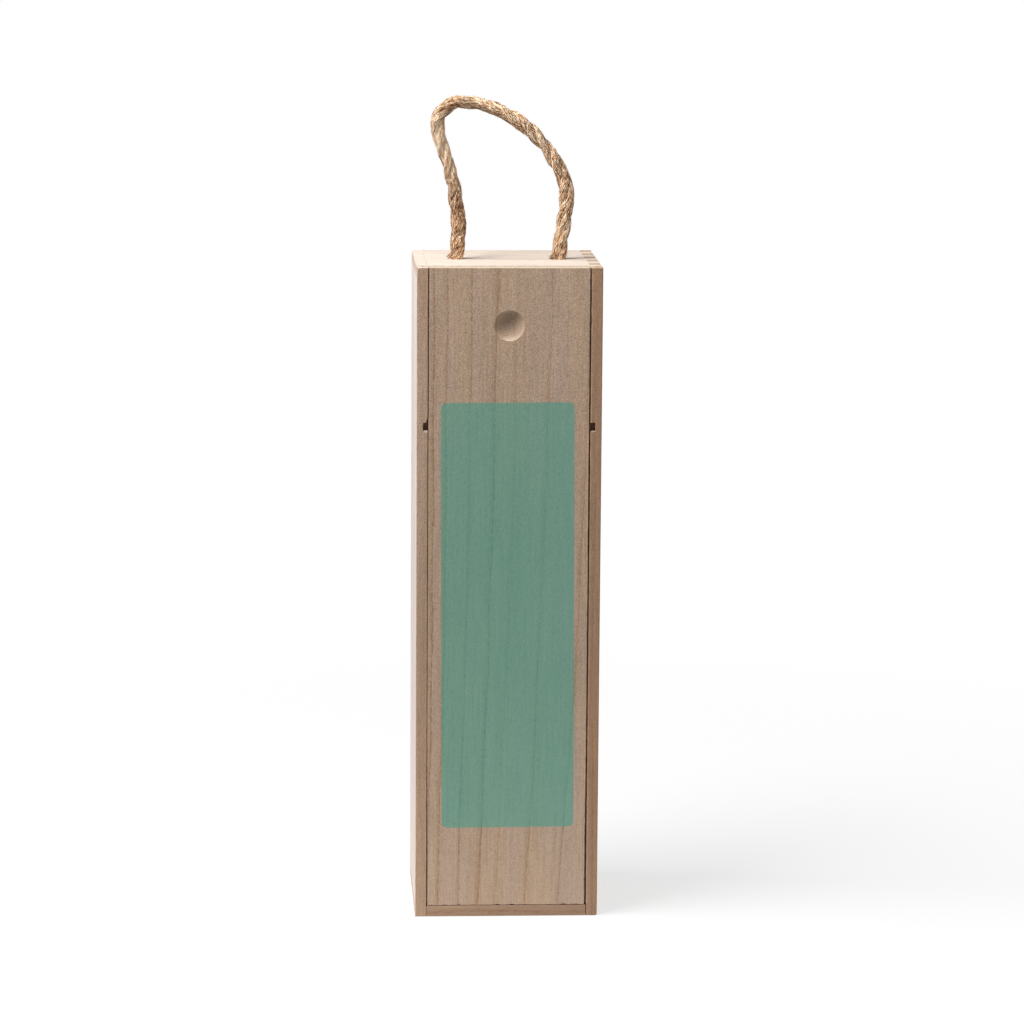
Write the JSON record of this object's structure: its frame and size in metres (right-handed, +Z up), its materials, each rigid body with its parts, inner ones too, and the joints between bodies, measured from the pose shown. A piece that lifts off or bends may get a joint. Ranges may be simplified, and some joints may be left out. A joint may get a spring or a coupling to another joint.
{
  "type": "wine box",
  "caption": "Upright wooden box for one bottle: finger-jointed case, tongued lid that slides up and out, slotted neck holder and a knotted rope handle.",
  "frame": {"origin": "middle of the base, at the height of the surface that the box stands on", "axes": "+Z up along the box's height, -Y out of the lid's face, +X to the right when the lid is looked at"},
  "size_m": [0.098, 0.0944, 0.4371],
  "materials": {
    "case_wood": "bare sanded wood, matte",
    "lid_wood": "bare sanded wood, matte",
    "green_wood": "wood tinted green, grain showing through, matte",
    "jute": "three-strand twisted jute, hairy"
  },
  "bodies": {
    "case": {"left_side": "case_wood", "right_side": "case_wood", "top_board": "case_wood", "bottom_board": "case_wood", "back_panel": "case_wood", "neck_holder": "case_wood", "rope_handle": "jute", "rope_knot_left": "jute", "rope_knot_right": "jute"},
    "lid": {"lid": "lid_wood", "print_field": "green_wood"}
  },
  "joints": [
    {"name": "lid_slide", "type": "slide", "parent": "case", "child": "lid", "axis": [0, 0, 1], "range_m": [0, 0.36]}
  ]
}
